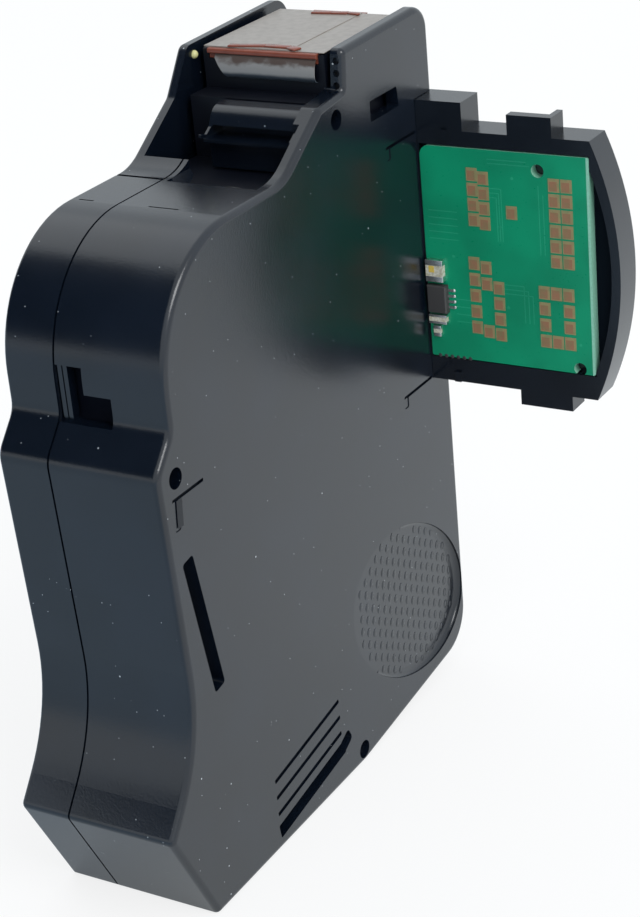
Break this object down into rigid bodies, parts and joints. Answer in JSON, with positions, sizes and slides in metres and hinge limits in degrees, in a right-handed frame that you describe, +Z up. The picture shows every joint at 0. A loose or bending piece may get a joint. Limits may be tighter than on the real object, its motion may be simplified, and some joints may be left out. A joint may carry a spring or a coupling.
{
  "type": "inkjet ink cartridge",
  "caption": "Ink cartridge: a flat two-part black case round an ink reservoir, with a taped print head at the snout and a contact board on a side wing.",
  "frame": {"origin": "middle of the flat part of the base, half way through the thickness of the case", "axes": "+Z up, from the base to the snout; +X from the rounded front strip to the straight back; +Y from the near broad side, where the wing stands out, to the far broad side"},
  "size_m": [0.0861, 0.0569, 0.1091],
  "materials": {
    "shell": "black, semi-gloss, fine moulded grain",
    "wing": "black, semi-gloss",
    "reservoir": "black, satin",
    "reservoir_cover": "black, satin",
    "foam": "ink-soaked open foam",
    "filter": "woven mesh",
    "plug": "matte",
    "nozzle": "gold plated",
    "flex": "amber film",
    "film": "thin grey film",
    "adhesive": "set drop",
    "board": "green solder mask",
    "pads": "gold plated",
    "chip": "moulded",
    "leads": "tinned",
    "ceramic_parts": "with tinned ends"
  },
  "bodies": {
    "root": {"near_shell": "shell", "far_shell": "shell", "reservoir_frame": "reservoir", "reservoir_cover_near": "reservoir_cover", "reservoir_cover_far": "reservoir_cover", "ink_foam": "foam", "filter_screen": "filter", "fill_plug": "plug", "nozzle_plate": "nozzle", "flex_circuit": "flex", "protective_film": "film", "film_flap": "film", "adhesive_dot": "adhesive", "lead_ribbon": "flex", "contact_wing": "wing", "circuit_board": "board", "memory_chip": "chip", "chip_leads": "leads", "board_capacitors": "ceramic_parts", "board_resistor": "ceramic_parts", "upper_outer_pads": "pads", "upper_inner_pads": "pads", "lower_outer_pads": "pads", "lower_inner_pads": "pads", "test_pad": "pads"}
  },
  "joints": []
}
